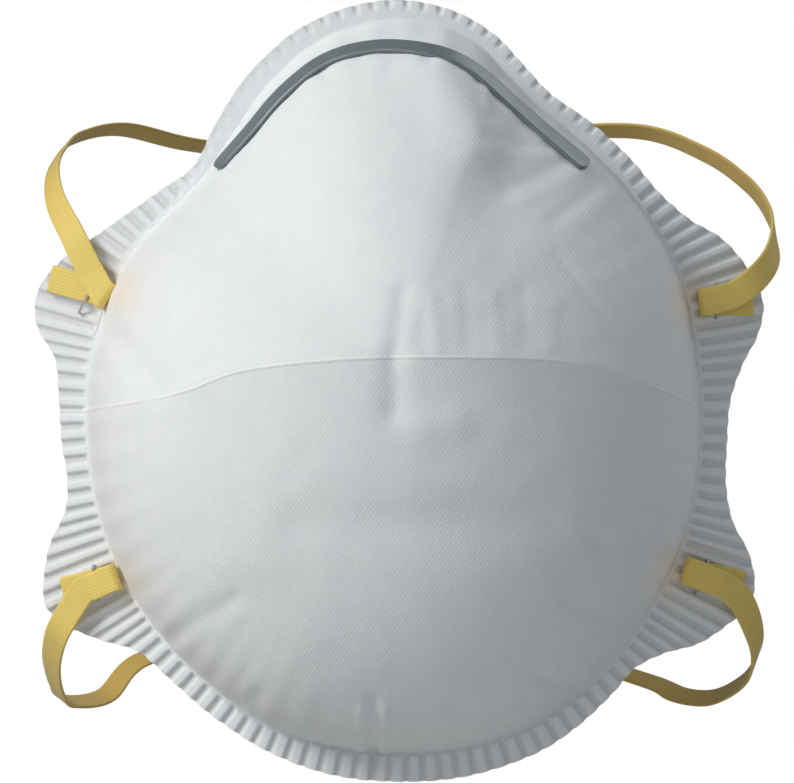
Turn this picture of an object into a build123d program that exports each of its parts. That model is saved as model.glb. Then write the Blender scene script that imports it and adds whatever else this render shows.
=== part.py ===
"""Disposable dust mask: a moulded cup of four welded layers with a flat crimped rim, a bendable
nose clip, a nose foam, and two elastic head straps stapled to four tabs of the rim.

Millimetres. +Z up, -Y away from the face, +X to the right as seen from in front. The origin is where
the wearer's midline meets the face side of the rim, half way up."""

import os
from math import cos, hypot, radians, sin, sqrt

from build123d import *

# Rim and cup
FACE_RADIUS = 216.0  # the rim wraps round the face on this radius, about a vertical axis
CUP_DEPTH = 46.0  # from the rim's face side at the nose to the front of the cup
APEX = (0.0, -2.0)  # x and z of the front of the cup
NOSE_ROUNDNESS = 1.0  # 1 is a slope that stays straight to the rim, 2 a quarter circle
CHIN_ROUNDNESS = 1.85
REAR_REACH = 20.0  # how far cutting prisms run behind the origin
WALL_FRONT = -1.5  # the cup's wall stands upright behind this y, and domes over in front of it
CUTTER_HEIGHT = 200.0  # of the upright cylinders that give the rim its wrap, taller than the mask
FRONT_LEVELS = (0.0, 0.25, 0.5, 0.7, 0.85, 0.95, 0.99)  # loft sections, as shares of the dome's depth

# Right halves of two closed outlines, from nose to chin, as (x, z): each arc's end, then its middle
WELD_LINE = [
    (0.0, 67.5), (12.0, 65.3), (22.0, 59.3), (36.5, 44.6), (49.6, 30.0), (55.8, 14.5), (58.0, -3.0),
    (56.6, -20.0), (51.0, -36.4), (34.0, -55.4), (0.0, -67.8),
]
RIM_EDGE = [
    (0.0, 72.3), (12.4, 70.0), (22.3, 62.8), (32.8, 52.0), (43.4, 40.0), (52.0, 33.0), (61.0, 27.0),
    (68.3, 16.5), (66.4, 8.6), (63.3, -3.5), (62.3, -18.0), (64.8, -28.5), (66.7, -37.0),
    (63.2, -44.0), (57.0, -46.8), (50.4, -49.0), (44.5, -52.6), (25.2, -67.5), (0.0, -73.3),
]

# Layers from outside to inside: name, thickness in the cup, thickness in the welded rim
LAYERS = [
    ("outer_cover", 0.5, 0.25),
    ("filter_web", 0.8, 0.25),
    ("support_shell", 1.0, 0.5),
    ("inner_lining", 0.3, 0.2),
]
CUP_THICKNESS = sum(cup for _, cup, _ in LAYERS)
RIM_THICKNESS = sum(rim for _, _, rim in LAYERS)

# Nose clip and foam, both along the same line over the nose, as (x, z)
CLIP_LINE = [
    (-34.0, 41.2), (-27.8, 47.8), (-21.2, 55.2), (-13.4, 61.0), (-4.0, 63.3), (6.3, 62.3),
    (13.4, 59.4), (20.5, 53.6), (27.6, 47.4), (35.0, 41.2),
]
CLIP_THICKNESS = 0.9
CLIP_HALF_WIDTH = (1.3, 1.2)  # seen from in front, at the ends and at the bridge
FOAM_THICKNESS = 4.0
FOAM_HALF_WIDTH = (4.2, 3.4)
FOAM_DROP = 1.6  # the foam's middle lies this much below the clip's
END_BULGE = 0.45  # how far a strip's rounded end stands out, as a share of its width

# Straps and staples
BAND_WIDTH = 5.2
BAND_THICKNESS = 0.6
FOLD_RADIUS = 1.1  # middle of the band round the fold
TAIL_LIFT = 0.02  # the tail's clearance from the rim
WIRE_RADIUS = 0.25
CROWN = 7.0  # staple width: its legs pass just outside the tail's edges
CLINCH = 2.4  # length of each bent leg
LEG_CLEARANCE = 0.05
WIRE_BEND = 0.35  # radius of the wire's bends, and how far each clinched tip rises from the rim
BAND_STATIONS = 30
LEAD = 1.5  # the route keeps its direction this far past a tab's straight run
OVERLAP = 0.3  # a tab's straight run reaches this far into the band that follows it, to join it
SETTLE_SHARE = 0.16  # part of a route over which the band turns from its tab to its own tilt
SWING_GAP = 1.2  # between each stapled end and its loop, centred on the swing axis


def rim_y(x, radius=FACE_RADIUS):
    """y of the upright cylinder of this radius about the rim's axis, at x."""
    return FACE_RADIUS - sqrt(radius**2 - x**2)


def cup_points(inset, share):
    """Right half of the cup's outline, nose to chin, at this share of the depth, moved in by inset."""
    found = []
    for x, z in WELD_LINE:
        out, up = x - APEX[0], z - APEX[1]
        length = hypot(out, up)
        towards_nose = (1 + up / length) / 2
        roundness = NOSE_ROUNDNESS + (CHIN_ROUNDNESS - NOSE_ROUNDNESS) * (1 - towards_nose**2)
        reach = sqrt(1 - share**roundness) * (1 - inset / length)
        found.append((APEX[0] + out * reach, APEX[1] + up * reach))
    return found


def outline(points):
    """A closed outline from its right half: each arc starts where the last one ended."""
    with BuildLine() as line:
        for start, middle, end in zip(points[0::2], points[1::2], points[2::2]):
            ThreePointArc(start, middle, end)
        mirror(about=Plane.YZ)
    return line.line


def front_plane(y):
    """A plane facing the front at this y, with the sketch's x to the right and its y up."""
    return Plane(origin=(0, y, 0), x_dir=(1, 0, 0), z_dir=(0, -1, 0))


def dome(inset, rear):
    """The solid dome whose surface lies inset inside the outer one, with its rear at y = rear."""
    with BuildPart() as solid:
        if rear > WALL_FRONT:
            with BuildSketch(front_plane(rear)):
                make_face(outline(cup_points(inset, 0.0)))
        for share in FRONT_LEVELS:
            with BuildSketch(front_plane(WALL_FRONT - (CUP_DEPTH + WALL_FRONT - inset) * share)):
                make_face(outline(cup_points(inset, share)))
        loft()
    return solid.part


def rim_and_wall(inset, thickness, behind, front):
    """A layer's share of the rim between two heights above its face side, and its cup's upright wall."""
    reach = REAR_REACH - WALL_FRONT
    with BuildPart() as solid:
        with BuildSketch(front_plane(REAR_REACH)):
            make_face(outline(RIM_EDGE))
        extrude(amount=reach)
        with Locations((0, FACE_RADIUS, 0)):
            Cylinder(FACE_RADIUS + front, CUTTER_HEIGHT, mode=Mode.INTERSECT)
        with BuildSketch(front_plane(REAR_REACH)):
            make_face(outline(cup_points(inset, 0.0)))
        extrude(amount=reach)
        with Locations((0, FACE_RADIUS, 0)):
            Cylinder(FACE_RADIUS + behind, CUTTER_HEIGHT + 10, mode=Mode.SUBTRACT)
        with BuildSketch(front_plane(REAR_REACH + 1)):
            make_face(outline(cup_points(inset + thickness, 0.0)))
        extrude(amount=reach + 2, mode=Mode.SUBTRACT)
    return solid.part


def strip_outline(half_widths, drop):
    """A rounded strip along the nose line, as (x, z) points of its upper and lower edges."""
    end, bridge = half_widths
    upper, lower = [], []
    last = len(CLIP_LINE) - 1
    for i, (x, z) in enumerate(CLIP_LINE):
        before, after = CLIP_LINE[max(i - 1, 0)], CLIP_LINE[min(i + 1, last)]
        run, rise = after[0] - before[0], after[1] - before[1]
        length = hypot(run, rise)
        half = bridge + (end - bridge) * abs(2 * i / last - 1) ** 2
        upper.append((x - rise / length * half, z + run / length * half - drop))
        lower.append((x + rise / length * half, z - run / length * half - drop))
    return upper, lower


def strip_prism(half_widths, drop=0.0):
    """A prism along Y with the strip's outline and half-round ends."""
    upper, lower = strip_outline(half_widths, drop)
    with BuildPart() as prism:
        with BuildSketch(front_plane(REAR_REACH)):
            with BuildLine():
                Spline(*upper)
                Spline(*lower)
                for i, side in ((0, -1), (-1, 1)):
                    a, b = upper[i], lower[i]
                    bulge = END_BULGE * side
                    middle = ((a[0] + b[0]) / 2, (a[1] + b[1]) / 2)
                    tip = (middle[0] + bulge * (a[1] - b[1]), middle[1] - bulge * (a[0] - b[0]))
                    ThreePointArc(a, tip, b)
            make_face()
        extrude(amount=2 * REAR_REACH + CUP_DEPTH)
    return prism.part


class Tab:
    """One strap tab: where its band folds, and which way the tail and the band leave the fold."""

    def __init__(self, name, fold, tail_angle, tail_length, band_angle, band_run, staple, staple_angle):
        self.name = name
        x, z = fold
        radius = FACE_RADIUS + RIM_THICKNESS
        y = rim_y(x, radius)
        self.normal = Vector(x / radius, (y - FACE_RADIUS) / radius, 0)
        self.plane = Plane(origin=(x, y, z), x_dir=self.normal.cross(Vector(0, 0, 1)) * -1, z_dir=self.normal)
        self.tail = Vector(cos(radians(tail_angle)), sin(radians(tail_angle)))
        self.band = Vector(cos(radians(band_angle)), sin(radians(band_angle)))
        self.fold_line = (self.band - self.tail).normalized()
        self.tail_length, self.band_run = tail_length, band_run
        self.staple, self.staple_angle = Vector(*staple) - Vector(x, z), staple_angle
        self.top = TAIL_LIFT + BAND_THICKNESS / 2 + 2 * FOLD_RADIUS  # middle of the band past the fold

    def at(self, point, height):
        """A point of the tab's own plane, in the mask's frame."""
        return self.plane.from_local_coords(Vector(point.X, point.Y, height))

    def along(self, direction):
        """A direction of the tab's own plane, in the mask's frame."""
        return self.plane.from_local_coords(direction) - self.plane.origin

    def exit_points(self):
        """Where the band leaves its straight run on the tab, and a point straight on from there."""
        return [self.at(self.band * reach, self.top) for reach in (self.band_run, self.band_run + LEAD)]

    def leg_points(self):
        """Where the staple's two legs go through, in the tab's own plane."""
        a = radians(self.staple_angle)
        half = Vector(cos(a), sin(a)) * (CROWN / 2 - WIRE_RADIUS)
        return [self.staple + half, self.staple - half]


TABS = {
    "upper_right": Tab("upper_right", (58.8, 16.5), 0, 8.6, 12, 3.2, (60.0, 16.6), 88),
    "upper_left": Tab("upper_left", (-57.6, 17.2), 174, 8.4, 118, 4.5, (-58.6, 17.2), 62),
    "lower_left": Tab("lower_left", (-53.9, -35.6), 194, 9.6, 204, 4.5, (-57.0, -36.5), 98),
    "lower_right": Tab("lower_right", (54.2, -34.4), -13, 11.0, -22, 6.0, (57.2, -35.4), 70),
}


def bent_ribbon(tab, direction, length, height):
    """A straight stretch of band in the tab's plane, its inner end cut along the fold line."""
    across = Vector(-direction.Y, direction.X) * (BAND_WIDTH / 2)
    slant = abs(direction.X * tab.fold_line.Y - direction.Y * tab.fold_line.X)
    inner = tab.fold_line * (BAND_WIDTH / 2 / slant)
    if inner.dot(across) < 0:
        inner = inner * -1
    far = direction * length
    corners = [inner, inner * -1, far - across, far + across]
    with BuildPart() as ribbon:
        with BuildSketch(tab.plane.offset(height - BAND_THICKNESS / 2)):
            with BuildLine():
                Polyline(*[(c.X, c.Y) for c in corners], close=True)
            make_face()
        extrude(amount=BAND_THICKNESS)
    return ribbon.part


def fold(tab):
    """The half turn of the band round the fold line, from the tail's level to the band's."""
    slant = abs(tab.tail.X * tab.fold_line.Y - tab.tail.Y * tab.fold_line.X)
    away = (tab.tail + tab.band).normalized() * -1
    start = tab.fold_line * (BAND_WIDTH / -2 / slant)
    end_plane = Plane(
        origin=tab.at(start, TAIL_LIFT + BAND_THICKNESS / 2 + FOLD_RADIUS),
        x_dir=tab.along(away),
        z_dir=tab.along(tab.fold_line),
    )
    outer, inner = FOLD_RADIUS + BAND_THICKNESS / 2, FOLD_RADIUS - BAND_THICKNESS / 2
    with BuildPart() as bend:
        with BuildSketch(end_plane):
            Circle(outer)
            Circle(inner, mode=Mode.SUBTRACT)
            Rectangle(2 * outer, 3 * outer, align=(Align.MAX, Align.CENTER), mode=Mode.SUBTRACT)
        extrude(amount=BAND_WIDTH / slant)
    return bend.part


def staple(tab):
    """A wire staple: its crown over the tail, its legs through the rim, their tips bent inwards."""
    first, second = tab.leg_points()
    crown_height = TAIL_LIFT + BAND_THICKNESS + WIRE_RADIUS
    back_height = -RIM_THICKNESS - WIRE_RADIUS - LEG_CLEARANCE
    inward = (second - first).normalized() * CLINCH
    with BuildPart() as wire:
        with BuildLine() as route:
            FilletPolyline(
                tab.at(first + inward, back_height - WIRE_BEND),
                tab.at(first, back_height),
                tab.at(first, crown_height),
                tab.at(second, crown_height),
                tab.at(second, back_height),
                tab.at(second - inward, back_height - WIRE_BEND),
                radius=WIRE_BEND,
            )
        with BuildSketch(Plane(origin=route.line @ 0, z_dir=route.line % 0)):
            Circle(WIRE_RADIUS)
        sweep()
    return wire.part


def leg_holes(tab):
    """Two pins a little thicker than the wire, to cut the staple's holes."""
    with BuildPart() as pins:
        with BuildSketch(tab.plane.offset(-3)):
            with Locations(*[(p.X, p.Y) for p in tab.leg_points()]):
                Circle(WIRE_RADIUS + LEG_CLEARANCE)
        extrude(amount=3 + TAIL_LIFT + BAND_THICKNESS + 0.1)
    return pins.part


class Strap:
    """One elastic band. Its route runs from the right tab round the back to the left tab."""

    def __init__(self, right, left, route_points, tilt, cut_shares):
        self.right, self.left = TABS[right], TABS[left]
        middle = [Vector(*point) for point in route_points]
        with BuildLine() as route:
            Spline(*self.right.exit_points(), *middle, *reversed(self.left.exit_points()))
        self.route = route.edge()
        self.tilt = Vector(0, *tilt).normalized()
        self.cuts = cut_shares
        self.half_gap = SWING_GAP / 2 / self.route.length
        self.hinge = (self.route @ cut_shares[0], self.route @ cut_shares[1])
        self.axis = (self.hinge[0] - self.hinge[1]).normalized()

    def width_direction(self, share):
        """Across the band at this share of the route: flat on each tab, tilted round the back."""
        run = self.route % share
        tab = self.right if share < 0.5 else self.left
        flat = tab.normal.cross(run)
        from_tab = min(share, 1 - share) / SETTLE_SHARE
        ease = min(1.0, from_tab) ** 2 * (3 - 2 * min(1.0, from_tab))
        wanted = flat.normalized() * (1 - ease) + self.tilt * ease
        return (wanted - run * wanted.dot(run)).normalized()

    def section_plane(self, share):
        """The plane of the band's section at this share of the route, square to the route."""
        return Plane(origin=self.route @ share, x_dir=self.width_direction(share), z_dir=self.route % share)

    def ribbon(self, first, last, stations):
        """The band between two shares of its route."""
        with BuildPart() as band:
            for i in range(stations + 1):
                with BuildSketch(self.section_plane(first + (last - first) * i / stations)):
                    Rectangle(BAND_WIDTH, BAND_THICKNESS)
            loft()
        return band.part


STRAPS = {
    "upper_strap": Strap(
        "upper_right", "upper_left",
        [
            (67.2, 6.6, 20.6), (70.6, 10.5, 24.6), (72.0, 17.5, 29.0), (71.6, 26.0, 34.0),
            (68.5, 36.0, 40.0), (60.8, 48.0, 46.8), (48.0, 59.0, 52.0), (26.0, 68.5, 51.6),
            (0.0, 72.0, 48.5), (-24.0, 69.0, 48.0), (-42.0, 61.5, 49.5), (-55.0, 50.0, 51.8),
            (-63.0, 38.0, 49.4), (-65.6, 27.0, 45.4), (-66.3, 18.0, 41.0), (-65.2, 10.5, 35.4),
            (-62.6, 5.5, 29.0),
        ],
        (-0.77, 0.64),
        (0.04, 0.955),
    ),
    "lower_strap": Strap(
        "lower_right", "lower_left",
        [
            (64.5, 5.7, -39.8), (67.0, 9.6, -44.6), (68.5, 16.0, -49.6), (68.0, 25.0, -54.6),
            (65.6, 33.0, -58.2), (61.4, 40.5, -60.8), (56.0, 47.0, -60.8), (50.4, 53.0, -58.6),
            (34.0, 60.0, -54.4), (12.0, 63.5, -52.4), (-12.0, 63.5, -51.6), (-34.0, 60.5, -50.6),
            (-51.4, 53.0, -54.2), (-58.2, 45.0, -60.8), (-64.6, 33.0, -60.9), (-65.9, 25.5, -58.2),
            (-66.3, 17.5, -53.6), (-65.6, 11.0, -49.5), (-63.8, 6.0, -45.0),
        ],
        (0.77, 0.64),
        (0.045, 0.95),
    ),
}


def save(part, name):
    """Names one piece and writes it to its own file, if it is a single solid."""
    if len(part.solids()) != 1:
        raise ValueError(f"{name} has {len(part.solids())} solids, not 1")
    part.label = name
    export_step(part, f"parts/{name}.step")


def build_layers():
    """The four nested layers, each a cup shell and its share of the rim, with the staples' holes."""
    inset, front = 0.0, RIM_THICKNESS
    holes = [leg_holes(tab) for tab in TABS.values()]
    for name, cup_thickness, rim_thickness in LAYERS:
        behind = front - rim_thickness
        with BuildPart() as layer:
            add(dome(inset, WALL_FRONT))
            add(dome(inset + cup_thickness, WALL_FRONT + 3), mode=Mode.SUBTRACT)
            add(rim_and_wall(inset, cup_thickness, behind, front))
            add(holes, mode=Mode.SUBTRACT)
        save(layer.part, name)
        inset += cup_thickness
        front = behind


def build_nose_parts():
    """The clip outside the cover and the foam inside the lining."""
    with BuildPart() as clip:
        add(dome(-CLIP_THICKNESS, WALL_FRONT))
        add(dome(0.0, WALL_FRONT + 3), mode=Mode.SUBTRACT)
        add(strip_prism(CLIP_HALF_WIDTH), mode=Mode.INTERSECT)
    save(clip.part, "nose_clip")
    with BuildPart() as foam:
        add(dome(CUP_THICKNESS, WALL_FRONT))
        add(dome(CUP_THICKNESS + FOAM_THICKNESS, WALL_FRONT + 3), mode=Mode.SUBTRACT)
        add(strip_prism(FOAM_HALF_WIDTH, FOAM_DROP), mode=Mode.INTERSECT)
    save(foam.part, "nose_foam")


def build_straps():
    """Each band's swinging loop, its two stapled ends and their staples."""
    for name, strap in STRAPS.items():
        right_cut, left_cut = strap.cuts
        save(strap.ribbon(right_cut + strap.half_gap, left_cut - strap.half_gap, BAND_STATIONS), name)
        leads = ((0.0, right_cut - strap.half_gap), (left_cut + strap.half_gap, 1.0))
        for tab, lead in zip((strap.right, strap.left), leads):
            with BuildPart() as end:
                add(bent_ribbon(tab, tab.tail, tab.tail_length, TAIL_LIFT + BAND_THICKNESS / 2))
                add(fold(tab))
                add(bent_ribbon(tab, tab.band, tab.band_run + OVERLAP, tab.top))
                add(strap.ribbon(*lead, 3))
            save(end.part, f"strap_end_{tab.name}")
            save(staple(tab), f"staple_{tab.name}")
        print(name, "length", round(strap.route.length, 1), "axis", tuple(strap.axis))
        print("swings about", *[tuple(point) for point in strap.hinge])


os.makedirs("parts", exist_ok=True)
build_layers()
build_nose_parts()
build_straps()
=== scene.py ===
"""Looks of the disposable dust mask: a moulded nonwoven cup with a crimped rim, a nose clip, a nose
foam and two elastic bands. Lengths are in millimetres until a mesh is made, in the CAD's frame:
+z up, -y away from the face, and "seen from in front" means along +y."""

import bmesh
import bpy
import numpy as np
from math import cos, pi, radians, sin
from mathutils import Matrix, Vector


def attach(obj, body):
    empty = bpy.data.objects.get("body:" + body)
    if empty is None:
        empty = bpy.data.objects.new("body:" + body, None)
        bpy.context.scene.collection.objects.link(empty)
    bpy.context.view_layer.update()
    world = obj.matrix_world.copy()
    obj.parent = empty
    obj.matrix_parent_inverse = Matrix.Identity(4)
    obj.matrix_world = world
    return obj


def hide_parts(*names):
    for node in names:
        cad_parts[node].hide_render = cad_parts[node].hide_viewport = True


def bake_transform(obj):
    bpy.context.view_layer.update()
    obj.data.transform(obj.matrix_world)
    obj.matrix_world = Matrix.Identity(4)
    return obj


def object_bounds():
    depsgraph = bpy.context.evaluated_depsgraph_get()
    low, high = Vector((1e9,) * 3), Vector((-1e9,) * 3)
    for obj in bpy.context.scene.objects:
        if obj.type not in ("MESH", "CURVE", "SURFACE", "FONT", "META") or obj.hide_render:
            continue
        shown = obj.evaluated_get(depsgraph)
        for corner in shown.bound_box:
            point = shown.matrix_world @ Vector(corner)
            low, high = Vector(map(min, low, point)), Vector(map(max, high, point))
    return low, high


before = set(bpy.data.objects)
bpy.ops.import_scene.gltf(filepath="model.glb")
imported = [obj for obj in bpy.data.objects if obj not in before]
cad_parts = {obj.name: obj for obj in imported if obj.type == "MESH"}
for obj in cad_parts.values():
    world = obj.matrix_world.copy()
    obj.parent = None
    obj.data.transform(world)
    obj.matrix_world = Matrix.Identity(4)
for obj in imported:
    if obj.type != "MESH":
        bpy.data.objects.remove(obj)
MM = 0.001

# Rim and cup
FACE_RADIUS = 216.0
RIM_THICKNESS = 1.2
FILLET = 1.6  # how softly the cup's wall grows out of the rim
CUP_DEPTH = 46.0
APEX = (0.0, 1.0)  # the cup's foremost point, as (x, z)
NOSE_ROUNDNESS = 1.0  # 1 is a parabola, and a larger number is a fuller cup
CHIN_ROUNDNESS = 2.15

# Closed outlines as (x, z), clockwise from the nose: where the cup meets the rim, and the cut edge
WELD_LINE = [
    (0, 69.3), (9.5, 67.6), (16.3, 63.4), (21, 58.3), (26, 53.3), (33, 47.7), (40.4, 40.7), (46.3, 33.4),
    (51.4, 25.2), (54.9, 15.5), (56.9, 3), (57.1, -8), (55.9, -20), (52.5, -31.5), (46.5, -43),
    (38, -53.5), (25.5, -62.7), (12.5, -66.9), (0, -67.9), (-12.5, -66.7), (-25.5, -62.4),
    (-38, -53.2), (-46.5, -44), (-53, -33), (-56.8, -22), (-58.6, -10), (-58.7, 0), (-57.4, 9),
    (-54.2, 19), (-49, 27.3), (-42.8, 33.6), (-36.8, 39.8), (-31.4, 47.5), (-26.4, 54.8),
    (-21.4, 60.3), (-16, 64.6), (-9, 67.9),
]
RIM_EDGE = [
    (0, 72.6), (10, 70.7), (17.8, 66.3), (23, 61), (28.5, 55.2), (36, 50), (43.4, 43.4), (49, 37),
    (55, 31.9), (61, 28.5), (66, 23), (69.1, 16.5), (68.1, 10.3), (65.3, 5), (62.8, -2), (62.1, -10),
    (61.9, -18), (63.2, -25), (66.3, -31), (67.5, -37), (66, -41.2), (62.4, -44.4), (56.6, -48),
    (49.8, -49.8), (44.2, -52.6), (40, -57.3), (33, -63.6), (24.9, -68.5), (12.8, -72.3), (0, -73.3),
    (-12.7, -72), (-24.6, -67.7), (-35.2, -61), (-43.2, -54.2), (-49, -49.4), (-56.2, -47.3),
    (-63, -44.6), (-66.7, -41.2), (-67.2, -36.5), (-66, -29.5), (-63, -23), (-62.6, -16.8),
    (-63.7, -10), (-64.2, -2), (-65, 5.7), (-68.4, 11.8), (-68.5, 18), (-64.6, 23.6), (-58, 28.2),
    (-51.6, 32.6), (-44.6, 37.4), (-38.4, 41.8), (-34.6, 49), (-29.6, 57), (-24, 63), (-18, 67.6),
    (-9.6, 71.2),
]

# The crimped rim: raised blocks with pressed grooves between them
RIM_INSET = 0.15  # from the weld line to the rim's first ring
RIB_PITCH = 3.3
RIB_DEPTH = 0.7
RIB_WANDER = 0.08  # how far the ribs stray from equal distances, in pitches
RIB_WANDER_LENGTH = 9.0
RIB_SHARPNESS = 5.5
RIB_BIAS = (0.12, 0.45, 0.35)  # blocks wider than grooves: everywhere, more at nose, more at chin
RIB_START = 0.2  # distance past the weld line where the ribs start to show
RIB_EASE = 0.6  # distance over which they reach their full depth
NOSE_RIB_START = 2.2  # over the nose they start this much later
WIDE_RIM = 5.0  # a narrower rim than this has less of that delay
NOSE_RIB_LOSS = 0.4  # over the nose they are shallower by this share
CHIN_PRESS = 0.75  # under the chin the rim is pressed along the weld line, as a share of RIB_DEPTH; the press also paints shade there
MOST_PRESS = 1.2  # the deepest press where the pleat crosses a groove, as a share of RIB_DEPTH
SCALLOP = 0.08  # how far the cut edge follows the ribs in and out

# Heights over which the rim changes from the sides to the nose and to the chin
NOSE_FROM, NOSE_BLEND = 34.0, 10.0
CHIN_FROM, CHIN_BLEND = -48.0, 12.0

# Grids: columns round the mask, rows from the apex to the weld line
FINE = (400, 100)
COARSE = (200, 50)
RIM_COLUMNS = 1600
EDGE_POINTS = 2400
CREASE_POINTS = 200
SPAN_STEPS = 24  # steps between two given points of a curve, before it is divided equally
SHARP_ANGLE = 55  # degrees from which an edge is shaded sharp
RIM_ROWS = (0.0, 0.06, 0.13, 0.22, 0.36, 0.54, 0.72, 0.88, 1.0)
MITRE = 3.0  # the layers change from their depths in the cup to those in the rim within this distance
LAYER_GAP = 0.02

# Layers from outside to inside: name, thickness in the cup, thickness in the rim, outer and inner grid
LAYERS = [
    ("outer_cover", 0.5, 0.25, FINE, COARSE),
    ("filter_web", 0.8, 0.25, COARSE, COARSE),
    ("support_shell", 1.0, 0.5, COARSE, COARSE),
    ("inner_lining", 0.3, 0.2, COARSE, FINE),
]
CUP_THICKNESS = sum(layer[1] for layer in LAYERS)

# The crease across the cup, as (x, z)
CREASE = [(-60, -4.2), (-40, -0.9), (-27.5, 3.2), (-9, 5.2), (8, 5.5), (28, 5.0), (40, 2.4), (58, -4.0)]
CREASE_HEIGHT = 1.7
CREASE_REACH = 9.0
RELIEF_FADE = 6  # how late crease and unevenness die out towards the weld line, as a power

# Dents and puckers moulded into the cup: start, end, half width, height (negative is a dent)
FOLDS = [
    ((0.7, 16.5), (-0.7, 6.0), 1.8, -0.4),  # short folds across the crease, from the midline out
    ((-0.8, 5.0), (-0.8, -4.0), 2.2, -0.6),
    ((5.0, -6.5), (9.8, -6.5), 3.2, 0.45),
    ((5.5, 15.0), (6.5, 7.0), 1.4, 0.22),
    ((11.5, 17.5), (12.0, 7.5), 1.5, -0.18),
    ((16.5, 16.0), (17.0, 7.0), 1.3, 0.16),
    ((22.0, 17.0), (22.0, 8.0), 1.5, -0.16),
    ((27.0, 14.0), (26.5, 7.5), 1.4, 0.14),
    ((6.5, 59.5), (13.5, 43.5), 5.0, 1.3),  # ridge down the right of the nose
    ((13.5, 43.5), (8.5, 18.0), 7.5, 1.0),
    ((15.0, 44.9), (27.5, 44.8), 1.2, -0.28),  # folds fanning out below the clip
    ((16.0, 41.5), (28.5, 43.0), 1.2, 0.14),
    ((19.0, 35.7), (30.0, 41.5), 1.4, -0.28),
    ((22.0, 33.5), (33.0, 39.5), 1.3, 0.14),
    ((28.0, 30.5), (36.0, 36.5), 1.4, -0.22),
    ((15.8, 57.0), (15.8, 51.0), 0.9, 0.3),  # nicks along the clip
    ((14.3, 58.4), (14.8, 56.6), 1.0, -0.4),
    ((4.6, 61.4), (5.4, 59.6), 1.0, -0.4),
    ((-16.2, 58.8), (-13.6, 58.4), 1.1, -0.35),
    ((28.3, 24.1), (43.3, 3.6), 1.0, -0.14),  # long shallow folds on the cheeks
    ((30.0, 25.0), (45.0, 4.6), 1.2, 0.08),
    ((-54.3, 12.0), (-42.7, 0.0), 2.8, -0.7),
    ((-18.4, -23.5), (26.4, -23.5), 4.5, -0.5),  # wide dent below the mouth, and folds near the rim
    ((35.8, -27.3), (48.9, -32.0), 1.6, -0.45),
    ((30.2, -37.6), (42.3, -44.1), 1.6, -0.4),
    ((24.6, -51.6), (33.0, -56.3), 1.4, -0.4),
    ((-41.8, -46.0), (-29.6, -37.6), 1.8, -0.4),
    ((-30.7, -60.0), (-25.9, -55.7), 1.3, -0.35),
    ((-4.6, -56.0), (-4.6, -67.5), 1.1, -0.7),  # chin pleat between two ridges
    ((-6.7, -58.0), (-6.7, -67.5), 1.0, 0.45),
    ((-2.6, -58.0), (-2.6, -67.5), 1.0, 0.45),
]
PLEAT_X = -4.6  # the chin pleat runs on across the rim
PLEAT_WIDTH = 1.0
PLEAT_PRESS = 0.8
PUCKER_PITCH = 7.4
PUCKER_HEIGHT = 0.22
PUCKER_REACH = 6.0
PUCKER_FADE = 40  # the same for the puckers, which keep their height almost to the weld line
PUCKER_DRIFT = (1.2, 5)  # how far, and how many times round the mask, the puckers stray

# Slow and fine unevenness: height, then length, sway and the sway's own length, along x and along z
UNEVENNESS = [
    (0.22, (7.1, 1.3, 9.7), (8.3, 0.9, 11.9)),
    (0.05, (2.9, 2.1, 5.3), (3.7, 1.7, 6.1)),
]

# Painted light: patches on the cup next to the folds, coloured by yellow light from the elastic
ELASTIC_LIGHT_INSET = 3.5
ELASTIC_LIGHT_REACH = 4.5

# Nose clip and foam, as (x, z) from left to right
CLIP_LINE = [
    (-34.0, 41.2), (-27.8, 47.8), (-21.2, 55.2), (-13.4, 61.0), (-4.0, 63.3), (6.3, 62.3),
    (13.4, 59.4), (20.5, 53.6), (27.6, 47.4), (35.0, 41.2),
]
CLIP_HALF_WIDTH = (1.0, 1.2, 1.5)  # seen from in front: left end, bridge, right end
CLIP_THICKNESS = 0.9
FOAM_HALF_WIDTH = (4.0, 3.3, 4.0)
FOAM_THICKNESS = 4.0
FOAM_DROP = 1.6
FOAM_MARGIN = 5.0  # the foam's middle keeps at least this far inside the weld line
STRIP_STATIONS = 140
STRIP_END_SHARE = 1 / 35  # share of half the strip's length over which each end is rounded
STRIP_END_WIDTH = 0.25  # width left at the very end, as a share
STRIP_EDGE = 0.28  # half thickness of a section 2 wide, before it is scaled to the strip
SMOOTHING = 15  # stations over which the folds under a strip are averaged

# Elastic bands
BAND_WIDTH = 5.2
BAND_THICKNESS = 0.6
FOLD_RADIUS = 1.1
TAIL_LIFT = 0.02
FINE_FROM = 4.2  # the last part of a tail, next to its fold, has finer rings
LOOP_STATIONS = 320
LOOP_LEAD = 1.5  # the loop keeps the tab's direction for this long
SETTLE_SHARE = 0.13  # part of the loop's length over which it turns from the tab to its own tilt
LEAN_FROM = 0.3  # part of the loop's length where its lean starts to change from right to left
LEAN_BLEND = 0.4
SHADE_DEPTH = 60.0  # painted shade: depth behind the rim at which a band would be fully darkened to the brown of the shaded far side
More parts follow.
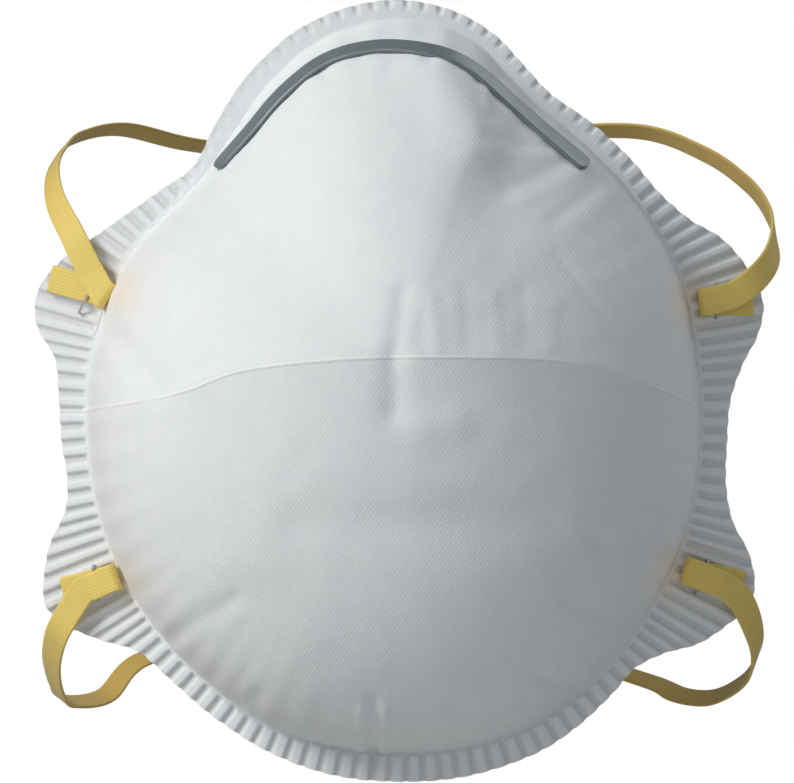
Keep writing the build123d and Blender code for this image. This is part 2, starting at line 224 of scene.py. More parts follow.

# Fold as (x, z), tail angle, tail length, band angle, straight run after the fold
TABS = {
    "upper_right": ((57.5, 16.4), 0, 9.8, 14, 3.8),
    "upper_left": ((-54.9, 17.9), 165, 11.6, 120, 4.5),
    "lower_left": ((-53.5, -35.6), 194, 10.4, 204, 4.5),
    "lower_right": ((54.4, -34.4), -13, 11.2, -22, 6.0),
}
UPPER_ROUTE = [
    (67.2, 6.6, 20.6), (70.6, 10.5, 24.6), (72.0, 17.5, 29.0), (71.6, 26.0, 34.0),
    (68.5, 36.0, 40.0), (60.8, 48.0, 46.8), (48.0, 59.0, 52.0), (26.0, 68.5, 51.6),
    (0.0, 72.0, 48.5), (-24.0, 69.0, 48.0), (-42.0, 61.5, 49.5), (-55.0, 50.0, 51.8),
    (-63.0, 38.0, 49.4), (-65.6, 27.0, 45.4), (-66.3, 18.0, 41.0), (-64.9, 10.5, 35.4),
    (-61.4, 5.5, 29.0),
]
LOWER_ROUTE = [
    (64.5, 5.7, -39.8), (67.0, 9.6, -44.6), (68.5, 16.0, -49.6), (68.0, 25.0, -54.6),
    (65.6, 33.0, -58.2), (61.4, 40.5, -60.8), (56.0, 47.0, -60.8), (50.4, 53.0, -58.6),
    (34.0, 60.0, -54.4), (12.0, 63.5, -52.4), (-12.0, 63.5, -51.6), (-34.0, 60.5, -50.6),
    (-51.4, 53.0, -54.2), (-58.2, 45.0, -60.8), (-64.6, 33.0, -60.9), (-65.9, 25.5, -58.2),
    (-66.3, 17.5, -53.6), (-65.6, 11.0, -49.5), (-63.8, 6.0, -45.0),
]
# Route from right to left, and the tilt of the band's width: its (y, z), and its x at right and left
LOOPS = {
    "upper": (UPPER_ROUTE, (-0.9, 0.43), (0.0, 0.5)),
    "lower": (LOWER_ROUTE, (0.9, 0.43), (0.2, -0.7)),
}

# Colours and fine detail of the materials
WHITE = (1.0, 1.0, 1.0)
GROOVE_SHADE_TONE = 0.66  # painted shade: brightness of the fabric where it is fully pressed, as the shade in a groove
# share of the press that is painted as shade into the fabric's colour
GROOVE_SHADE_SHARE = 0.62
EMBOSS_ACROSS = (0.82, 0.0, -0.57)  # direction across the cover's embossed stripes
SEAM_HALF_WIDTH = 0.45
# colour of the yellow light from the elastic, painted onto the cover
ELASTIC_LIGHT_COLOUR = (0.92, 0.66, 0.32)
CORD_PITCH = 0.62  # between the elastic's fine cords

# Stage, in metres. The floor lies well below the mask, out of the camera's view.
FLOOR_HALF_SIZE = 1.1
FLOOR_DROP = 0.12
LENS = 180.0
CAMERA = (-0.00028, -0.742, -0.00047)

# Square lights that face the mask: place, size, power, colour
LIGHTS = {
    "key": ((-0.72, -0.5, 0.55), 0.45, 8.2, (1.0, 0.985, 0.96)),
    "fill": ((0.1, -0.95, 0.1), 0.8, 1.2, (0.95, 0.98, 1.0)),
    "rim": ((0.5, 0.3, 0.5), 0.4, 1.2, WHITE),
}


# ---------------------------------------------------------------- curves and surfaces

def ease(share):
    """0 to 1, slow at both ends."""
    return share**2 * (3 - 2 * share)


def smooth_curve(points, count, closed=False):
    """count points at equal distances along a smooth curve through the given points."""
    knots = np.array(points, float)
    if closed:
        knots = np.vstack([knots[-1], knots, knots[:2]])
    else:
        knots = np.vstack([2 * knots[0] - knots[1], knots, 2 * knots[-1] - knots[-2]])
    t = np.linspace(0, 1, SPAN_STEPS, endpoint=False)[:, None]
    spans = []
    for a, b, c, d in zip(knots, knots[1:], knots[2:], knots[3:]):
        cubic = (3 * b - a - 3 * c + d) * t**3 + (2 * a - 5 * b + 4 * c - d) * t**2
        spans.append(0.5 * (cubic + (c - a) * t + 2 * b))
    dense = np.vstack(spans + [knots[-2][None]])
    gone = np.concatenate([[0], np.cumsum(np.linalg.norm(np.diff(dense, axis=0), axis=1))])
    wanted = np.linspace(0, gone[-1], count, endpoint=not closed)
    return np.column_stack([np.interp(wanted, gone, axis) for axis in dense.T])


WELD = smooth_curve(WELD_LINE, RIM_COLUMNS, closed=True)
EDGE = smooth_curve(RIM_EDGE, EDGE_POINTS, closed=True)
WELD_OUT = WELD - APEX
WELD_ANGLE = np.arctan2(WELD_OUT[:, 0], WELD_OUT[:, 1])
WELD_REACH = np.linalg.norm(WELD_OUT, axis=1)
CREASE_CURVE = smooth_curve(CREASE, CREASE_POINTS)


def rim_y(x, height=RIM_THICKNESS):
    """y of the rim's wrapped surface at this height above its face side."""
    return FACE_RADIUS - np.sqrt((FACE_RADIUS + height) ** 2 - x**2)


def polar(x, z):
    """Angle about the apex, distance from it to the weld line, and the share of it already gone."""
    out, up = x - APEX[0], z - APEX[1]
    angle = np.arctan2(out, up)
    reach = np.interp(angle, WELD_ANGLE, WELD_REACH, period=2 * pi)
    return angle, reach, np.clip(np.hypot(out, up) / reach, 0, 1)


def cup_y(x, z):
    """y of the plain dome, with no folds."""
    angle, reach, share = polar(x, z)
    towards_nose = (1 + np.cos(angle)) / 2
    roundness = NOSE_ROUNDNESS + (CHIN_ROUNDNESS - NOSE_ROUNDNESS) * (1 - towards_nose**2)
    rise = (1 - share**2) ** (1 / roundness)
    rise *= 1 - np.exp(-reach * (1 - share) / FILLET)
    weld_x = APEX[0] + np.sin(angle) * reach
    return rim_y(weld_x) * (1 - rise) - CUP_DEPTH * rise


def cup_normal(x, z, step=0.25):
    """Unit normal of the plain dome, towards the front."""
    slope_x = (cup_y(x + step, z) - cup_y(x - step, z)) / (2 * step)
    slope_z = (cup_y(x, z + step) - cup_y(x, z - step)) / (2 * step)
    normal = np.stack([slope_x, -np.ones_like(x), slope_z], axis=-1)
    return normal / np.linalg.norm(normal, axis=-1, keepdims=True)


def seam_distance(x, z):
    """Height of a point above the crease."""
    return z - np.interp(x, CREASE_CURVE[:, 0], CREASE_CURVE[:, 1])


def relief(x, z):
    """How far the folds, puckers and slow unevenness lift the cup's surface."""
    angle, reach, share = polar(x, z)
    from_weld = reach * (1 - share)
    inner = 1 - share**RELIEF_FADE
    above = seam_distance(x, z)
    height = CREASE_HEIGHT * np.exp(-np.abs(above) / CREASE_REACH) * inner
    for start, end, width, rise in FOLDS:
        run = np.subtract(end, start)
        along = ((x - start[0]) * run[0] + (z - start[1]) * run[1]) / (run @ run)
        along = np.clip(along, 0, 1)
        off = np.hypot(x - start[0] - run[0] * along, z - start[1] - run[1] * along)
        height += rise * np.exp(-((off / width) ** 2))
    for rise, (length, sway, turn), (z_length, z_sway, z_turn) in UNEVENNESS:
        wave = np.sin(x / length + sway * np.sin(z / turn))
        height += rise * inner * wave * np.sin(z / z_length + z_sway * np.sin(x / z_turn))
    stray, times = PUCKER_DRIFT
    pucker = np.sin(angle * reach / PUCKER_PITCH * 2 * pi + stray * np.sin(angle * times))
    pucker *= np.exp(-from_weld / PUCKER_REACH) * (1 - share**PUCKER_FADE)
    return height + PUCKER_HEIGHT * pucker


def skin(x, z, height=0.0, lift=None):
    """Points of the cup's surface, its folds or another lift and then height along the dome's normal."""
    plain = np.stack([x, cup_y(x, z), z], axis=-1)
    lift = relief(x, z) if lift is None else lift
    return plain + cup_normal(x, z) * (lift + height)[..., None]


# ---------------------------------------------------------------- meshes

def add_mesh(name, vertices, faces, body, material, attributes=None):
    """A smooth-shaded object from millimetre vertices, riding on body if one is given."""
    mesh = bpy.data.meshes.new(name)
    mesh.from_pydata((np.asarray(vertices) * MM).tolist(), [], faces)
    shell = bmesh.new()
    shell.from_mesh(mesh)
    bmesh.ops.recalc_face_normals(shell, faces=shell.faces)
    shell.to_mesh(mesh)
    shell.free()
    mesh.shade_smooth()
    mesh.set_sharp_from_angle(angle=radians(SHARP_ANGLE))
    for key, values in (attributes or {}).items():
        layer = mesh.attributes.new(key, "FLOAT", "POINT")
        layer.data.foreach_set("value", np.asarray(values, np.float32))
    mesh.materials.append(material)
    piece = bpy.data.objects.new(name, mesh)
    bpy.context.scene.collection.objects.link(piece)
    if body:
        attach(piece, body)
    return piece


def grid_faces(first, rings, columns):
    """Quads between closed rings of columns vertices each, numbered from first."""
    faces = []
    for ring in range(rings - 1):
        low = first + ring * columns
        for i in range(columns):
            j = (i + 1) % columns
            faces.append((low + i, low + j, low + columns + j, low + columns + i))
    return faces


def nose_share(z):
    """1 over the nose and 0 on the sides, by height."""
    return np.clip((z - NOSE_FROM) / NOSE_BLEND, 0, 1)


def chin_share(z):
    """1 under the chin and 0 on the sides, by height."""
    return np.clip((CHIN_FROM - z) / CHIN_BLEND, 0, 1)


def rim_columns():
    """For each column of the rim: its way out, its length to the cut edge, and the rib's wave.

    A column starts on the weld line, square to it, and ends where it first crosses the cut edge. The
    wave is 1 on a raised block and 0 in a groove."""
    run = np.roll(WELD, -1, axis=0) - np.roll(WELD, 1, axis=0)
    normal = np.stack([-run[:, 1], run[:, 0]], axis=1)
    normal /= np.linalg.norm(normal, axis=1, keepdims=True)
    if np.sum(normal * WELD_OUT) < 0:
        normal = -normal
    ring = np.vstack([EDGE, EDGE[:1]])
    gone = np.concatenate([[0], np.cumsum(np.linalg.norm(np.diff(ring, axis=0), axis=1))])
    away = ring[None] - WELD[:, None]
    ahead = np.einsum("ijk,ik->ij", away, normal)
    aside = away[..., 0] * normal[:, None, 1] - away[..., 1] * normal[:, None, 0]
    crosses = (aside[:, :-1] * aside[:, 1:] <= 0) & (ahead[:, :-1] > 0)
    hit = np.argmin(np.where(crosses, ahead[:, :-1], np.inf), axis=1)
    rows = np.arange(len(WELD))
    part = aside[rows, hit] / (aside[rows, hit] - aside[rows, hit + 1])
    length = ahead[rows, hit] * (1 - part) + ahead[rows, hit + 1] * part
    place = gone[hit] * (1 - part) + gone[hit + 1] * part
    ribs = round(gone[-1] / RIB_PITCH)
    phase = place / gone[-1] * ribs + RIB_WANDER * np.sin(place / RIB_WANDER_LENGTH)
    bias = RIB_BIAS[0] + RIB_BIAS[1] * nose_share(WELD[:, 1]) + RIB_BIAS[2] * chin_share(WELD[:, 1])
    wave = 1 / (1 + np.exp(-RIB_SHARPNESS * (np.cos(2 * pi * phase) + bias)))
    return normal, length, wave


RIM_NORMAL, RIM_LENGTH, RIM_WAVE = rim_columns()


def weld_press(z):
    """How deep the rim is pressed next to the weld line: only under the chin."""
    return CHIN_PRESS * chin_share(z)


def rim_rings(rim_depth):
    """The rim's rings at this depth in the stack, from the weld line to the cut edge, and their press."""
    length = RIM_LENGTH + SCALLOP * (RIM_WAVE - 0.5)
    nose = nose_share(WELD[:, 1])
    start = RIB_START + NOSE_RIB_START * nose * np.minimum(length / WIDE_RIM, 1)
    rings, presses = [], []
    for share in RIM_ROWS:
        out = RIM_INSET + (length - RIM_INSET) * share
        place = WELD + RIM_NORMAL * out[:, None]
        begin = ease(np.clip((out - start) / RIB_EASE, 0, 1))
        pleat = np.exp(-(((place[:, 0] - PLEAT_X) / PLEAT_WIDTH) ** 2)) * (place[:, 1] < 0)
        press = begin * (1 - RIM_WAVE) + (1 - begin) * weld_press(place[:, 1]) + PLEAT_PRESS * pleat
        press = np.clip(press, 0, MOST_PRESS) * (1 - NOSE_RIB_LOSS * nose)
        height = RIM_THICKNESS - rim_depth - RIB_DEPTH * press
        y = rim_y(place[:, 0], height)
        rings.append(np.column_stack([place[:, 0], y, place[:, 1]]))
        presses.append(press)
    return rings, presses


def cup_rings(columns, rows, cup_depth, rim_depth):
    """The cup's rings at this depth in the stack, from just outside the apex to the weld line."""
    weld = WELD[:: RIM_COLUMNS // columns]
    step = rim_depth + RIB_DEPTH * weld_press(weld[:, 1])
    rings = []
    for i in range(1, rows + 1):
        share = sin(i / rows * pi / 2)
        place = np.array(APEX) + (weld - APEX) * share
        points = skin(place[:, 0], place[:, 1], -cup_depth)
        from_weld = np.linalg.norm(weld - place, axis=1)
        turn = np.clip(1 - from_weld / MITRE, 0, 1) ** 2
        points[:, 1] += step * turn
        rings.append(points)
    return rings


def painted_elastic_light(points):
    """Painted yellow light from the elastic on the fabric next to each fold."""
    total = np.zeros(len(points))
    for (x, z), *_ in TABS.values():
        inward = x - ELASTIC_LIGHT_INSET * np.sign(x)
        off = np.hypot(points[:, 0] - inward, points[:, 2] - z)
        total += np.exp(-((off / ELASTIC_LIGHT_REACH) ** 2))
    return total


def layer_side(grid, cup_depth, rim_depth, first):
    """Vertices, faces and press of one side of a layer, with its last ring on the cut edge.

    first is the number of its first vertex. The rim has ratio times the cup's columns, so a fan of
    triangles joins each of the cup's columns to the rim."""
    columns, rows = grid
    ratio = RIM_COLUMNS // columns
    apex = skin(np.array([APEX[0]]), np.array([APEX[1]]), -cup_depth)
    cup = cup_rings(columns, rows, cup_depth, rim_depth)
    rim, presses = rim_rings(rim_depth)
    faces = []
    for i in range(columns):
        faces.append((first, first + 1 + i, first + 1 + (i + 1) % columns))
    faces += grid_faces(first + 1, rows, columns)
    last_cup = first + 1 + (rows - 1) * columns
    first_rim = last_cup + columns
    half = ratio // 2
    for i in range(columns):
        near = last_cup + i
        far = last_cup + (i + 1) % columns
        ring = [first_rim + (ratio * i + k) % RIM_COLUMNS for k in range(ratio + 1)]
        faces += [(near, ring[k], ring[k + 1]) for k in range(half)]
        faces.append((near, ring[half], far))
        faces += [(far, ring[k], ring[k + 1]) for k in range(half, ratio)]
    faces += grid_faces(first_rim, len(rim), RIM_COLUMNS)
    points = np.vstack([apex] + cup + rim)
    cup_press = np.zeros(1 + rows * columns)
    cup_press[-columns:] = weld_press(WELD[::ratio, 1])
    press = np.concatenate([cup_press] + presses)
    return points, faces, press


def build_layer(name, cup_from, cup_to, rim_from, rim_to, outer, inner, material):
    """One closed layer of the stack between two depths."""
    front, faces, press = layer_side(outer, cup_from, rim_from, 0)
    back, back_faces, back_press = layer_side(inner, cup_to, rim_to, len(front))
    front_edge = len(front) - RIM_COLUMNS
    back_edge = len(front) + len(back) - RIM_COLUMNS
    for i in range(RIM_COLUMNS):
        j = (i + 1) % RIM_COLUMNS
        faces.append((front_edge + i, front_edge + j, back_edge + j, back_edge + i))
    points = np.vstack([front, back])
    attributes = {
        "press": np.concatenate([press, back_press]),
        "seam": seam_distance(points[:, 0], points[:, 2]),
        "elastic_light": painted_elastic_light(points),
    }
    return add_mesh(name, points, faces + back_faces, "mask", material, attributes)


def rounded_section(half_width, half_thickness, across=8, corner=5):
    """Ring of (w, h) points round a flat strip with rounded edges."""
    radius = half_thickness
    side = half_width - radius
    flat = np.linspace(-side, side, across)
    bend = np.linspace(-pi / 2, pi / 2, corner + 2)[1:-1]
    right = [(side + radius * cos(a), radius * sin(a)) for a in bend]
    left = [(-side - radius * cos(a), -radius * sin(a)) for a in bend]
    bottom = [(w, -half_thickness) for w in flat]
    top = [(w, half_thickness) for w in flat[::-1]]
    return np.array(bottom + right + top + left)


def tube_faces(rings, columns):
    """Sides and end caps of a closed tube of rings."""
    faces = grid_faces(0, rings, columns)
    faces.append(tuple(range(columns))[::-1])
    last = (rings - 1) * columns
    faces.append(tuple(range(last, last + columns)))
    return faces


def build_nose_strip(name, half_widths, thickness, height, drop, margin, material):
    """A strip over the nose, its middle this high above the cup and drop below the clip's line.

    half_widths are at its left end, middle and right end. Its middle keeps at least margin inside the
    weld line."""
    line = smooth_curve(CLIP_LINE, STRIP_STATIONS) - (0.0, drop)
    _, reach, gone = polar(line[:, 0], line[:, 1])
    nearer = np.minimum(1.0, (reach - margin) / (reach * gone))
    line = np.array(APEX) + (line - APEX) * nearer[:, None]
    run = np.gradient(line, axis=0)
    run /= np.linalg.norm(run, axis=1, keepdims=True)
    across = np.column_stack([-run[:, 1], run[:, 0]])
    side = np.linspace(-1, 1, STRIP_STATIONS)
    ends = np.where(side < 0, half_widths[0], half_widths[2])
    half = half_widths[1] + (ends - half_widths[1]) * side**2
    end = np.clip((1 - np.abs(side)) / STRIP_END_SHARE, 0, 1)
    half = half * np.sqrt(1 - (1 - end) ** 2).clip(STRIP_END_WIDTH, 1)
    lift = relief(line[:, 0], line[:, 1])
    window = np.ones(SMOOTHING) / SMOOTHING
    lift = np.convolve(np.pad(lift, SMOOTHING // 2, mode="edge"), window, mode="valid")
    outward = cup_normal(line[:, 0], line[:, 1]) * np.maximum(lift + height, 0)[:, None]
    line = line - outward[:, [0, 2]]  # seen from in front, the strip's middle stays on its line
    section = rounded_section(1.0, STRIP_EDGE)
    rings = []
    for i in range(STRIP_STATIONS):
        w = section[:, 0] * half[i]
        h = section[:, 1] / STRIP_EDGE * thickness / 2
        x = line[i, 0] + across[i, 0] * w
        z = line[i, 1] + across[i, 1] * w
        rings.append(skin(x, z, height + h, lift[i]))
    faces = tube_faces(STRIP_STATIONS, len(section))
    return add_mesh(name, np.vstack(rings), faces, "mask", material)


class Tab:
    """Where one band is stapled: its own plane on the rim, and the band's lay over the fold."""

    def __init__(self, fold, tail_angle, tail_length, band_angle, band_run):
        x, z = fold
        y = rim_y(x)
        radius = FACE_RADIUS + RIM_THICKNESS
        self.origin = np.array([x, y, z])
        self.normal = np.array([x / radius, (y - FACE_RADIUS) / radius, 0.0])
        self.right = np.array([-self.normal[1], self.normal[0], 0.0])
        self.tail = np.array([cos(radians(tail_angle)), sin(radians(tail_angle))])
        self.band = np.array([cos(radians(band_angle)), sin(radians(band_angle))])
        self.fold_line = (self.band - self.tail) / np.linalg.norm(self.band - self.tail)
        self.away = -(self.tail + self.band) / np.linalg.norm(self.tail + self.band)
        self.squareness = -self.tail @ self.away
        self.tail_length = tail_length
        self.band_run = band_run

    def place(self, flat, height):
        """Points of the tab's plane, at heights above it."""
        flat, height = np.asarray(flat), np.asarray(height)[..., None]
        up = np.array([0.0, 0.0, 1.0])
        return self.origin + flat[..., :1] * self.right + flat[..., 1:] * up + height * self.normal

    def reach_of_straight(self):
        """Length of band from the fold line to the end of the straight run."""
        return self.band_run + pi * FOLD_RADIUS / self.squareness

    def folded(self, gone, section):
        """A ring of the band, gone millimetres past the fold line (negative on the tail).

        The band lies flat, turns half a circle about the fold line, and lies flat again above its
        tail."""
        across = np.array([self.tail[1], -self.tail[0]])
        flat = -self.tail * gone + across * section[:, :1]
        half_turn = pi * FOLD_RADIUS
        outward = flat @ self.away
        turn = np.clip(outward, 0, half_turn) / FOLD_RADIUS
        drift = (-self.tail @ self.fold_line) / self.squareness * FOLD_RADIUS
        sideways = flat @ self.fold_line - drift * turn
        radius = FOLD_RADIUS - section[:, 1]
        reach = np.minimum(outward, 0) - np.maximum(outward - half_turn, 0) + radius * np.sin(turn)
        height = TAIL_LIFT + BAND_THICKNESS / 2 + FOLD_RADIUS - radius * np.cos(turn)
        return self.place(reach[:, None] * self.away + sideways[:, None] * self.fold_line, height)


BAND_SECTION = rounded_section(BAND_WIDTH / 2, BAND_THICKNESS / 2, across=11)


def build_strap_end(name, tab, material):
    """A stapled tail, its fold and the first straight stretch of the band."""
    stations = np.concatenate([
        np.linspace(-tab.tail_length, -FINE_FROM, 20, endpoint=False),
        np.linspace(-FINE_FROM, tab.reach_of_straight(), 80),
    ])
    points = np.vstack([tab.folded(gone, BAND_SECTION) for gone in stations])
    faces = tube_faces(len(stations), len(BAND_SECTION))
    attributes = {"across": np.tile(BAND_SECTION[:, 0], len(stations)), "shade": np.zeros(len(points))}
    return add_mesh(name, points, faces, "mask", material, attributes)


def build_strap_loop(name, right, left, route, tilt, leans, material):
    """The free loop, from the right tab's last ring round the back to the left tab's.

    The band's width leaves each tab in the tab's plane and then turns to the loop's own tilt, whose
    sideways part is one of leans, on the right and on the left of the mask."""
    ends = []
    for tab in (right, left):
        last = tab.reach_of_straight()
        middle = np.array([[0.0, 0.0]])
        ends.append(tab.folded(last, middle)[0])
        ends.append(tab.folded(last + LOOP_LEAD, middle)[0])
    line = smooth_curve([ends[0], ends[1], *route, ends[3], ends[2]], LOOP_STATIONS)
    run = np.gradient(line, axis=0)
    run[0] = ends[1] - ends[0]
    run[-1] = ends[2] - ends[3]
    run /= np.linalg.norm(run, axis=1, keepdims=True)
    rings = []
    for i in range(LOOP_STATIONS):
        share = i / (LOOP_STATIONS - 1)
        tab = right if share < 0.5 else left
        flat = np.cross(tab.normal, run[i])
        flat /= np.linalg.norm(flat)
        settled = ease(min(1.0, min(share, 1 - share) / SETTLE_SHARE))
        side = np.clip((share - LEAN_FROM) / LEAN_BLEND, 0, 1)
        lean = leans[0] + (leans[1] - leans[0]) * side
        turned = np.array([lean, *tilt])
        width = flat * (1 - settled) + turned / np.linalg.norm(turned) * settled
        width -= run[i] * (width @ run[i])
        width /= np.linalg.norm(width)
        thick = np.cross(run[i], width)
        rings.append(line[i] + BAND_SECTION[:, :1] * width + BAND_SECTION[:, 1:] * thick)
    points = np.vstack(rings)
    faces = tube_faces(LOOP_STATIONS, len(BAND_SECTION))
    across = np.tile(BAND_SECTION[:, 0], LOOP_STATIONS)
    attributes = {"across": across, "shade": points[:, 1] / SHADE_DEPTH}
    return add_mesh(name, points, faces, None, material, attributes)


# ---------------------------------------------------------------- materials

class Nodes:
    """A material's node tree, with short calls to add and join nodes."""

    def __init__(self, name, roughness, metallic=0.0):
        self.material = bpy.data.materials.new(name)
        self.material.use_nodes = True
        self.tree = self.material.node_tree
        self.shader = self.tree.nodes["Principled BSDF"]
        self.shader.inputs["Roughness"].default_value = roughness
        self.shader.inputs["Metallic"].default_value = metallic
        self.place = self.add("ShaderNodeTexCoord").outputs["Object"]

    def add(self, kind, inputs=None, **settings):
        """A node of this kind. An input may be a value or another node's output."""
        node = self.tree.nodes.new(kind)
        for key, value in settings.items():
            setattr(node, key, value)
        for key, value in (inputs or {}).items():
            if isinstance(value, bpy.types.NodeSocket):
                self.tree.links.new(value, node.inputs[key])
            else:
                node.inputs[key].default_value = value
        return node

    def math(self, operation, a, b=0.0, c=0.0):
        """Output of a Math node."""
        node = self.add("ShaderNodeMath", {0: a, 1: b, 2: c}, operation=operation)
        return node.outputs[0]

    def noise(self, scale, detail=3.0, rough=0.6):
        """Noise in object space, with scale in cells per metre."""
        inputs = {"Vector": self.place, "Scale": scale, "Detail": detail, "Roughness": rough}
        return self.add("ShaderNodeTexNoise", inputs).outputs["Fac"]

    def attribute(self, name):
        """A number that the mesh carries at each vertex."""
        return self.add("ShaderNodeAttribute", attribute_name=name).outputs["Fac"]

    def mix(self, share, first, second):
        """Colour between first and second, each a colour or another node's output."""
        node = self.add("ShaderNodeMix", {0: share}, data_type="RGBA")
        for key, value in ((6, first), (7, second)):
            if isinstance(value, bpy.types.NodeSocket):
                self.tree.links.new(value, node.inputs[key])
            else:
                node.inputs[key].default_value = (*value, 1.0)
        return node.outputs[2]

    def bump(self, height, distance, strength, onto=None):
        """Normal bent by this height, with distance in metres, on top of an earlier bump if given."""
        inputs = {"Height": height, "Distance": distance, "Strength": strength}
        if onto is not None:
            inputs["Normal"] = onto
        return self.add("ShaderNodeBump", inputs).outputs["Normal"]

    def finish(self, colour, normal, roughness=None):
        """The material, with these joined to its shader."""
        self.tree.links.new(colour, self.shader.inputs["Base Color"])
        self.tree.links.new(normal, self.shader.inputs["Normal"])
        if roughness is not None:
            self.tree.links.new(roughness, self.shader.inputs["Roughness"])
        return self.material


def nonwoven(name, light, dark, fibre_scale, emboss_pitch=0.0, seam=False):
    """A soft bonded web: fibres, slow mottling, painted shade where it is pressed, and for the cover an
    embossed diagonal and a seam, both with painted highlights, and painted yellow light from the elastic.
    """
    n = Nodes(name, 0.88)
    n.shader.inputs["Sheen Weight"].default_value = 0.12
    n.shader.inputs["Specular IOR Level"].default_value = 0.25
    mottle = n.noise(220.0, 4.0)
    fibres = n.noise(fibre_scale, 6.0, 0.75)
    tone = n.math("MULTIPLY_ADD", fibres, 0.5, n.math("MULTIPLY", mottle, 0.45))
    colour = n.mix(tone, dark, light)
    # Painted shade: the fabric is darker where it is pressed into the rim's grooves and along the chin.
    pressed = n.math("MULTIPLY", n.attribute("press"), GROOVE_SHADE_SHARE)
    colour = n.mix(pressed, colour, tuple(GROOVE_SHADE_TONE * c for c in light))
    height = n.math("MULTIPLY", fibres, 0.8)
    if emboss_pitch:
        slant = (2 * pi / (emboss_pitch * MM)) * Vector(EMBOSS_ACROSS)
        dot = n.add("ShaderNodeVectorMath", {0: n.place, 1: slant}, operation="DOT_PRODUCT")
        stripes = n.math("MULTIPLY_ADD", n.math("SINE", dot.outputs["Value"]), 0.5, 0.5)
        broken = n.math("MULTIPLY", stripes, n.math("MULTIPLY_ADD", mottle, 0.8, 0.6))
        height = n.math("MULTIPLY_ADD", broken, 0.22, height)
        # Painted highlight: the raised parts of the embossed stripes are a little lighter.
        colour = n.mix(n.math("MULTIPLY", stripes, 0.03), colour, WHITE)
    normal = n.bump(height, 0.00012, 0.55)
    if seam:
        line = n.math("ABSOLUTE", n.attribute("seam"))
        ridge = n.math("SUBTRACT", 1.0, n.math("DIVIDE", line, SEAM_HALF_WIDTH))
        ridge = n.math("MAXIMUM", ridge, 0.0)
        # Painted highlight: the raised seam along the crease is lighter.
        colour = n.mix(n.math("MULTIPLY", ridge, 0.35), colour, WHITE)
        normal = n.bump(ridge, 0.0003, 0.5, normal)
        # Painted light: yellow from the elastic, mixed into the cover next to each fold.
        elastic_light = n.math("MULTIPLY", n.attribute("elastic_light"), 0.3)
        colour = n.mix(elastic_light, colour, ELASTIC_LIGHT_COLOUR)
    return n.finish(colour, normal)


def elastic(name):
    """Yellow woven elastic: fine cords along it, and painted shade that makes it darker where it turns
    behind.
    """
    n = Nodes(name, 0.62)
    n.shader.inputs["Sheen Weight"].default_value = 0.1
    across = n.attribute("across")
    cords = n.math("SINE", n.math("MULTIPLY", across, 2 * pi / CORD_PITCH))
    cords = n.math("MULTIPLY_ADD", cords, 0.5, 0.5)
    weave = n.noise(2600.0, 3.0)
    tone = n.math("MULTIPLY_ADD", cords, 0.16, n.math("MULTIPLY", weave, 0.7))
    colour = n.mix(tone, (0.72, 0.52, 0.10), (0.90, 0.72, 0.22))
    # Painted shade: the band is browner the further it runs behind the rim.
    shade = n.math("MINIMUM", n.math("MAXIMUM", n.attribute("shade"), 0.0), 0.55)
    colour = n.mix(shade, colour, (0.36, 0.19, 0.03))
    height = n.math("MULTIPLY_ADD", cords, 0.35, n.math("MULTIPLY", weave, 0.5))
    return n.finish(colour, n.bump(height, 0.00012, 0.6))


def clip_metal(name):
    """Blue-grey coated aluminium strip with faint drawn lines."""
    n = Nodes(name, 0.42, 0.35)
    wear = n.noise(420.0, 4.0)
    colour = n.mix(wear, (0.155, 0.195, 0.215), (0.215, 0.250, 0.266))
    grain = n.noise(3200.0, 2.0)
    return n.finish(colour, n.bump(grain, 0.00005, 0.35), n.math("MULTIPLY_ADD", wear, 0.2, 0.34))


def nose_foam_material(name):
    """Dark open-cell foam, with painted shade in the pits of its cells."""
    n = Nodes(name, 0.95)
    cells = n.add("ShaderNodeTexVoronoi", {"Vector": n.place, "Scale": 1500.0}).outputs["Distance"]
    # Painted shade: the pits of the cells are darker.
    colour = n.mix(cells, (0.03, 0.032, 0.036), (0.13, 0.135, 0.145))
    return n.finish(colour, n.bump(cells, 0.0003, 0.9))


def staple_steel(name):
    """Bright drawn wire."""
    n = Nodes(name, 0.28, 1.0)
    scratches = n.noise(5200.0, 2.0)
    colour = n.mix(scratches, (0.42, 0.42, 0.43), (0.68, 0.68, 0.7))
    return n.finish(colour, n.bump(scratches, 0.00003, 0.4), n.math("MULTIPLY_ADD", scratches, 0.2, 0.2))


# ---------------------------------------------------------------- stage

def add_light(name, place, size, power, colour):
    """A square area light at place, turned towards the mask."""
    data = bpy.data.lights.new(name, "AREA")
    data.energy = power
    data.size = size
    data.color = colour
    light = bpy.data.objects.new(name, data)
    light.location = place
    light.rotation_euler = (-Vector(place)).to_track_quat("-Z", "Y").to_euler()
    bpy.context.scene.collection.objects.link(light)


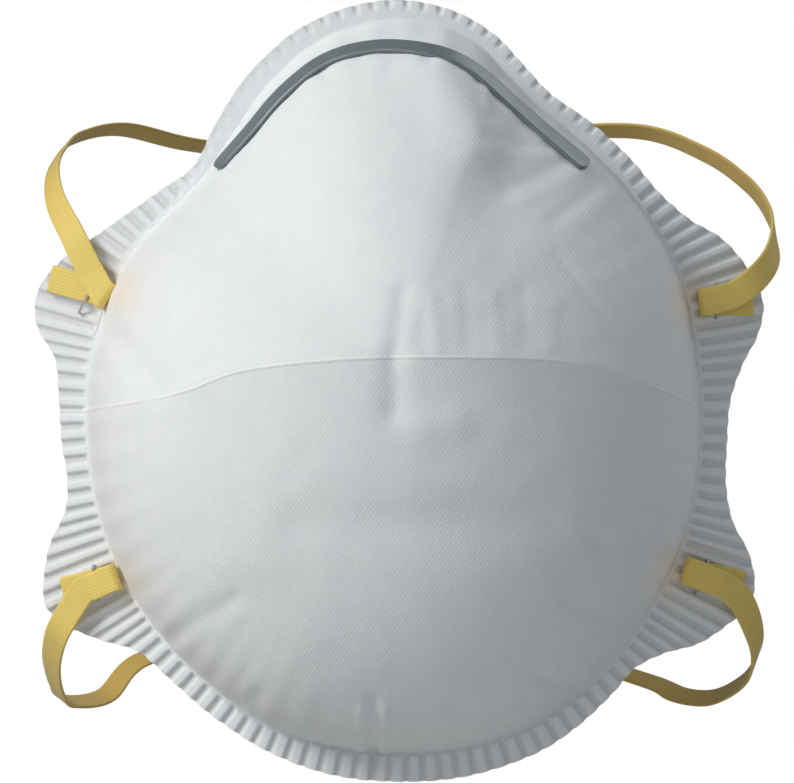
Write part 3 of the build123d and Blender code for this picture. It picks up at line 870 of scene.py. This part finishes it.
def build_stage(lowest):
    """Pale floor below the mask, a white surround, soft light from the upper left, and the camera."""
    floor = bpy.data.meshes.new("floor")
    corners = [(-1, -1), (1, -1), (1, 1), (-1, 1)]
    level = lowest - FLOOR_DROP
    places = [(x * FLOOR_HALF_SIZE, y * FLOOR_HALF_SIZE, level) for x, y in corners]
    floor.from_pydata(places, [], [(0, 1, 2, 3)])
    n = Nodes("pale_floor", 0.8)
    colour = n.mix(n.noise(3.0), (0.50, 0.50, 0.50), (0.54, 0.54, 0.54))
    floor.materials.append(n.finish(colour, n.bump(n.noise(40.0), 0.0005, 0.1)))
    n.shader.inputs["Emission Color"].default_value = (1, 1, 1, 1)
    seen = n.add("ShaderNodeLightPath").outputs["Is Camera Ray"]
    n.tree.links.new(n.math("MULTIPLY", seen, 0.6), n.shader.inputs["Emission Strength"])
    stage = bpy.data.objects.new("floor", floor)
    bpy.context.scene.collection.objects.link(stage)

    scene = bpy.context.scene
    scene.view_settings.view_transform = "Standard"
    world = bpy.data.worlds.new("studio")
    scene.world = world
    world.use_nodes = True
    tree = world.node_tree
    ambient = tree.nodes["Background"]
    ambient.inputs["Color"].default_value = (0.88, 0.94, 1.0, 1.0)
    ambient.inputs["Strength"].default_value = 0.21
    white = tree.nodes.new("ShaderNodeBackground")
    white.inputs["Color"].default_value = (1, 1, 1, 1)
    ray = tree.nodes.new("ShaderNodeLightPath")
    mix = tree.nodes.new("ShaderNodeMixShader")
    tree.links.new(ray.outputs["Is Camera Ray"], mix.inputs[0])
    tree.links.new(ambient.outputs[0], mix.inputs[1])
    tree.links.new(white.outputs[0], mix.inputs[2])
    tree.links.new(mix.outputs[0], tree.nodes["World Output"].inputs["Surface"])

    for name, values in LIGHTS.items():
        add_light(name, *values)

    data = bpy.data.cameras.new("camera")
    data.lens = LENS
    camera = bpy.data.objects.new("camera", data)
    camera.location = CAMERA
    camera.rotation_euler = (radians(90), 0, 0)
    scene.collection.objects.link(camera)
    scene.camera = camera


# ---------------------------------------------------------------- the mask

cover_cloth = nonwoven("cover_nonwoven", (0.865, 0.875, 0.885), (0.70, 0.725, 0.745), 2600.0, 0.65, True)
filter_cloth = nonwoven("filter_web_cloth", (0.90, 0.90, 0.88), (0.76, 0.76, 0.75), 4200.0)
shell_cloth = nonwoven("shell_felt", (0.80, 0.81, 0.81), (0.62, 0.63, 0.64), 1500.0)
lining_cloth = nonwoven("lining_nonwoven", (0.88, 0.88, 0.88), (0.70, 0.71, 0.72), 2000.0, 1.1)
yellow_elastic = elastic("yellow_elastic")
clip_paint = clip_metal("nose_clip_coat")
foam_cells = nose_foam_material("foam_cells")
wire = staple_steel("staple_wire")

cad_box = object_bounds()
build_stage(cad_box[0][2])

LAYER_CLOTH = {
    "outer_cover": (cover_cloth, "cover_fabric"),
    "filter_web": (filter_cloth, "filter_fabric"),
    "support_shell": (shell_cloth, "shell_fabric"),
    "inner_lining": (lining_cloth, "lining_fabric"),
}

cup_at, rim_at = 0.0, 0.0
for name, cup_thickness, rim_thickness, outer, inner in LAYERS:
    cloth, slot = LAYER_CLOTH[name]
    layer = build_layer(
        name + "_cloth",
        cup_at, cup_at + cup_thickness - LAYER_GAP,
        rim_at, rim_at + rim_thickness - LAYER_GAP,
        outer, inner, cloth,
    )
    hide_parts(name)
    cup_at += cup_thickness
    rim_at += rim_thickness

clip = build_nose_strip(
    "nose_clip_strip", CLIP_HALF_WIDTH, CLIP_THICKNESS, CLIP_THICKNESS / 2, 0.0, 0.0, clip_paint
)
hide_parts("nose_clip")

foam_height = -CUP_THICKNESS - FOAM_THICKNESS / 2
foam = build_nose_strip(
    "nose_foam_strip", FOAM_HALF_WIDTH, FOAM_THICKNESS, foam_height, FOAM_DROP, FOAM_MARGIN, foam_cells
)
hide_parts("nose_foam")

tabs = {name: Tab(*values) for name, values in TABS.items()}
for name, tab in tabs.items():
    end = build_strap_end(name + "_elastic_end", tab, yellow_elastic)
    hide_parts("strap_end_" + name)

for side, (route, tilt, leans) in LOOPS.items():
    right = tabs[side + "_right"]
    left = tabs[side + "_left"]
    loop = build_strap_loop(side + "_elastic_loop", right, left, route, tilt, leans, yellow_elastic)
    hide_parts(side + "_strap")
    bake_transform(loop)

for name in TABS:
    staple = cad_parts["staple_" + name]
    for material_slot in staple.material_slots:
        material_slot.material = wire
